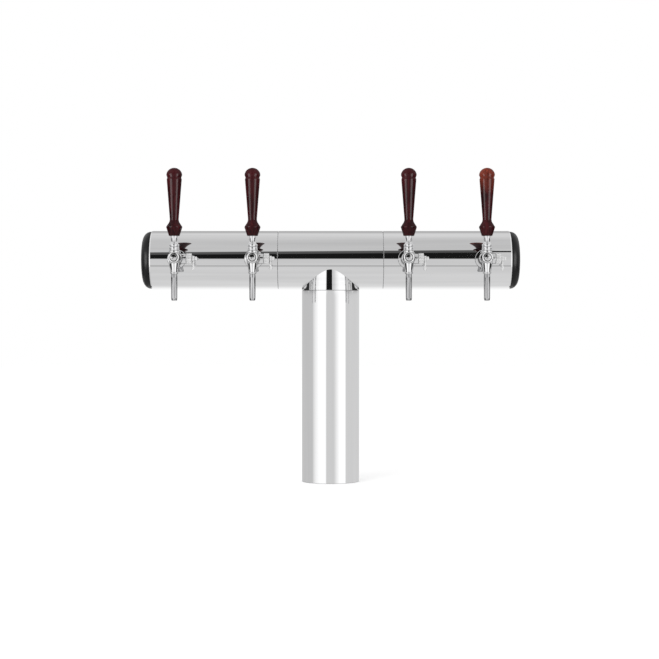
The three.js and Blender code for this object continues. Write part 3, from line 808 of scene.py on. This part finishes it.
class TOWER_OT_inner_pieces(bpy.types.Operator):
    """Give the pieces inside the tower their finishes"""

    bl_idname = "tower.inner_pieces"
    bl_label = "Inner Pieces"

    def execute(self, context):
        metals = {
            "sleeve": ("sleeve_steel", (0.5, 0.5, 0.51), (1, 1, 1), 300, (0.3, 0.45), 0.1),
            "base_plate": ("plate_steel", (0.45, 0.45, 0.46), (1, 0.1, 1), 300, (0.35, 0.5), 0.2),
            "tail_nut": ("turned_brass", (0.72, 0.52, 0.25), (1, 0.2, 1), 400, (0.25, 0.4), 0.1),
            "valve_plunger": ("plunger_steel", (0.6, 0.6, 0.61), (1, 0.1, 1), 400, (0.2, 0.3), 0.1),
        }
        finishes = {part: polished_metal(*values) for part, values in metals.items()}
        finishes["foam_core"] = foam_material("insulation_foam")
        finishes["beer_line"] = line_material("line_tube")
        finishes["flow_cone"] = moulded_plastic("cone_plastic", (0.02, 0.02, 0.02), (0.35, 0.5))
        for name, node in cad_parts.items():
            for part, material in finishes.items():
                if part in name:
                    node.data.materials.clear()
                    node.data.materials.append(material)
        return {"FINISHED"}


class TOWER_OT_stage(bpy.types.Operator):
    """Build the floor, the studio light and the camera"""

    bl_idname = "tower.stage"
    bl_label = "Stage"

    def execute(self, context):
        stage = settings("stage")
        scene = context.scene
        scene.view_settings.view_transform = "Standard"
        self.add_floor(scene, stage)
        self.light_studio(scene, stage)
        self.add_lamps(scene, stage)

        camera = bpy.data.objects.new("camera", bpy.data.cameras.new("camera"))
        scene.collection.objects.link(camera)
        camera.location = (stage.camera_side, -stage.camera_distance, stage.camera_height)
        camera.rotation_euler = (pi / 2, 0, 0)
        camera.data.lens = stage.lens
        camera.data.sensor_width = 36  # mm, which the lens goes with
        scene.camera = camera
        return {"FINISHED"}

    def add_floor(self, scene, stage):
        """A wide pale floor just under the foot. The camera sees it a little brighter than it is lit."""
        half_width, drop, lift = 8, 0.2 * MM, 0.3
        bm = bmesh.new()
        bmesh.ops.create_grid(bm, x_segments=1, y_segments=1, size=half_width)
        bmesh.ops.translate(bm, vec=(0, 0, -drop), verts=bm.verts)
        mesh = mesh_from(bm)
        material, tree, shader = blank_material("pale_floor")
        shader.inputs["Base Color"].default_value = (*stage.floor, 1)
        shader.inputs["Roughness"].default_value = 0.9
        shader.inputs["Specular IOR Level"].default_value = 0
        path = tree.nodes.new("ShaderNodeLightPath")
        lifted = ranged(tree, path.outputs["Is Camera Ray"], 0, 1, 0, lift)
        tree.links.new(lifted, shader.inputs["Emission Strength"])
        shader.inputs["Emission Color"].default_value = (1, 1, 1, 1)
        mesh.materials.append(material)
        floor = bpy.data.objects.new("floor", mesh)
        scene.collection.objects.link(floor)
        floor.visible_glossy = False

    def light_studio(self, scene, stage):
        """A pale room with two tall soft boxes and a dark bar over the camera, seen in the polish alone.

        Each ramp gives a brightness, or a share from 0 to 1, over an angle in degrees or over part of a
        direction. The head mirrors what lies above and below the camera, upright pieces what lies beside it.
        """
        world = bpy.data.worlds.new("studio")
        scene.world = world
        world.use_nodes = True
        tree = world.node_tree
        background = tree.nodes["Background"]
        direction = tree.nodes.new("ShaderNodeTexCoord").outputs["Generated"]
        axes = tree.nodes.new("ShaderNodeSeparateXYZ")
        tree.links.new(direction, axes.inputs["Vector"])
        x, y, z = axes.outputs

        def maths(operation, *values):
            """A sum on numbers and on other nodes' values."""
            node = tree.nodes.new("ShaderNodeMath")
            node.operation = operation
            for socket, value in zip(node.inputs, values):
                if isinstance(value, (int, float)):
                    socket.default_value = value
                else:
                    tree.links.new(value, socket)
            return node.outputs["Value"]

        def blend(first, second, share):
            """The first value, turning into the second by a share."""
            rest = maths("MULTIPLY", first, maths("SUBTRACT", 1, share))
            return maths("ADD", rest, maths("MULTIPLY", second, share))

        def angle_ramp(rise, run, stops, slope=0):
            """A ramp over the angle from the run to the rise. A slope tilts it across the picture."""
            turn = maths("ADD", maths("DIVIDE", maths("ARCTAN2", rise, run), 2 * pi), 0.5)
            turn = maths("SUBTRACT", turn, maths("MULTIPLY", x, slope))
            return ramp(tree, turn, [(degrees / 360 + 0.5, shade) for degrees, shade in stops])

        # The room's brightness by height, from 0 at the camera over 90 at the ceiling to 180 at the back
        forward = maths("MULTIPLY", y, -1)
        room = angle_ramp(z, forward, [
            (-180, 1), (-150, 1), (-118, 0.72), (-27.5, 0.66), (-25.6, 0.36), (-23.6, 0.36), (-22.2, 0.66),
            (38, 0.62), (45, 0.57), (60, 0.58), (83, 0.6), (105, 0.69), (125, 0.73), (138, 0.5), (165, 0.45),
            (175, 0.8), (180, 1),
        ])

        # The dark bar, level below and tilted above. Right of the last tap only its upper edge is left.
        above_edge = angle_ramp(z, forward, [(0, 0), (2.4, 0), (3.6, 1), (180, 1)])
        below_edge = angle_ramp(
            z, forward, [(0, 1), (23, 1), (25, 0.86), (32.5, 0.86), (35, 0), (180, 0)], slope=0.12
        )
        bar = maths("MULTIPLY", above_edge, below_edge)
        line = angle_ramp(z, forward, [(0, 0), (28.4, 0), (29, 1), (34.4, 1), (35, 0), (180, 0)])
        across = maths("ADD", maths("MULTIPLY", x, 0.5), 0.5)
        bar = blend(line, bar, ramp(tree, across, [(0.15, 0), (0.25, 1), (0.5515, 1), (0.5525, 0)]))

        # The column mirrors walls at the camera's height and below it, the taps' upright pieces just above it
        height = maths("ADD", maths("MULTIPLY", z, 0.5), 0.5)
        at_walls = ramp(tree, height, [
            (0.3, 1), (0.305, 0), (0.43, 0), (0.435, 1), (0.5135, 1), (0.515, 0), (0.539, 0), (0.541, 1),
        ])

        # The soft boxes in the column, and the narrower pair in the taps
        boxes = angle_ramp(x, forward, [
            (-180, 0), (-77, 0), (-74, 0.25), (-64, 0.6), (-46, 1), (-20, 1), (-16, 0), (10, 0), (16, 0.15),
            (24, 0.55), (36, 1), (60, 1), (64, 0), (180, 0),
        ])
        narrow = angle_ramp(x, forward, [
            (-180, 0), (-60, 0), (-54, 1), (-16, 1), (-10, 0), (10, 0), (16, 1), (54, 1), (60, 0), (180, 0),
        ])
        low = ramp(tree, maths("ABSOLUTE", z), [(0.3, 1), (0.45, 0)])
        boxes = maths("MULTIPLY", blend(narrow, boxes, at_walls), low)

        # Beside the camera: walls for the column, wings for the taps, a floor below and a ceiling above
        aside = ramp(tree, maths("ABSOLUTE", x), [(0.27, 0), (0.36, 1)])
        walls = angle_ramp(x, forward, [(-180, 0.57), (-10, 0.57), (10, 0.66), (180, 0.66)])
        wings = angle_ramp(x, forward, [
            (-180, 0.5), (-136, 0.5), (-128, 0.03), (-60, 0.03), (-54, 0.95),
            (54, 0.95), (60, 0.03), (128, 0.03), (136, 0.5), (180, 0.5),
        ])
        floor = angle_ramp(x, forward, [
            (-180, 0.04), (-136, 0.04), (-126, 0.75), (126, 0.75), (136, 0.04), (180, 0.04),
        ])
        under = ramp(tree, height, [(0.18, 0), (0.19, 1), (0.28, 1), (0.29, 0)])
        over = ramp(tree, height, [(0.61, 0), (0.625, 1)])
        ceiling, box_light, bar_darkness = 0.85, 1.12, 0.985
        sides = blend(blend(blend(wings, walls, at_walls), floor, under), ceiling, over)

        seen = maths("MULTIPLY", room, maths("SUBTRACT", 1, maths("MULTIPLY", bar, bar_darkness)))
        seen = blend(blend(seen, sides, aside), box_light, boxes)

        # The camera sees plain white, the polish the room, and all else an even daylight
        path = tree.nodes.new("ShaderNodeLightPath")
        camera, mirrored = path.outputs["Is Camera Ray"], path.outputs["Is Glossy Ray"]
        plain = maths("MAXIMUM", camera, path.outputs["Is Transmission Ray"])
        rest = maths("MULTIPLY", maths("SUBTRACT", 1, maths("MAXIMUM", plain, mirrored)), stage.daylight)
        total = maths("ADD", maths("ADD", plain, maths("MULTIPLY", mirrored, seen)), rest)
        background.inputs["Color"].default_value = (1, 1, 1, 1)
        tree.links.new(total, background.inputs["Strength"])

    def add_lamps(self, scene, stage):
        """A key light for the shapes, and two tall strips that light the handles and the caps alone."""
        aim = Vector((0, 0, 0.4))

        def lamp(name, place, width, height, power):
            light = bpy.data.objects.new(name, bpy.data.lights.new(name, "AREA"))
            light.data.shape = "RECTANGLE"
            light.data.size, light.data.size_y = width, height
            light.data.energy = power
            light.location = place
            light.rotation_euler = (aim - light.location).to_track_quat("-Z", "Y").to_euler()
            light.visible_camera = False
            scene.collection.objects.link(light)
            return light

        lamp("key_light", (-1.1, -1.6, 1.7), 1.4, 1.4, 14).visible_glossy = False
        glossy = bpy.data.collections.new("handles_and_caps")
        for piece in (*(f"tap_{n}_handle" for n in TAPS), "left_end_cap", "right_end_cap"):
            glossy.objects.link(bpy.data.objects[f"{piece}_shell"])
        away = 2
        for name, degrees in (("left_strip", -52), ("right_strip", 46)):
            turn = radians(degrees)
            place = (away * sin(turn), -away * cos(turn), aim.z)
            lamp(name, place, 1.1, 1.4, stage.strips).light_linking.receiver_collection = glossy


PIECES = (
    TOWER_OT_tubes, TOWER_OT_end_caps, TOWER_OT_tap_bodies, TOWER_OT_levers, TOWER_OT_handles,
    TOWER_OT_flow_controls, TOWER_OT_inner_pieces, TOWER_OT_stage,
)
GROUPS = {"tube": TubeSettings, "tap": TapSettings, "handle": HandleSettings, "stage": StageSettings}


class TOWER_PT_panel(bpy.types.Panel):
    """The tower's pieces and their sizes"""

    bl_idname = "TOWER_PT_panel"
    bl_label = "Beer Tower"
    bl_space_type = "VIEW_3D"
    bl_region_type = "UI"
    bl_category = "Beer Tower"

    def draw(self, context):
        layout = self.layout
        for kind in GROUPS:
            box = layout.box()
            box.label(text=kind.title())
            values = settings(kind)
            for name in values.bl_rna.properties.keys():
                if name not in {"rna_type", "name"}:
                    box.prop(values, name)
        for piece in PIECES:
            layout.operator(piece.bl_idname)


CLASSES = (*GROUPS.values(), *PIECES, TOWER_PT_panel)


def register():
    for cls in CLASSES:
        bpy.utils.register_class(cls)
    for kind, group in GROUPS.items():
        setattr(bpy.types.Scene, f"tower_{kind}", PointerProperty(type=group))


def unregister():
    for kind in GROUPS:
        delattr(bpy.types.Scene, f"tower_{kind}")
    for cls in reversed(CLASSES):
        bpy.utils.unregister_class(cls)


def main():
    """Builds every piece."""
    register()
    for piece in PIECES:
        group, name = piece.bl_idname.split(".")
        getattr(getattr(bpy.ops, group), name)()


if __name__ == "__main__":
    main()
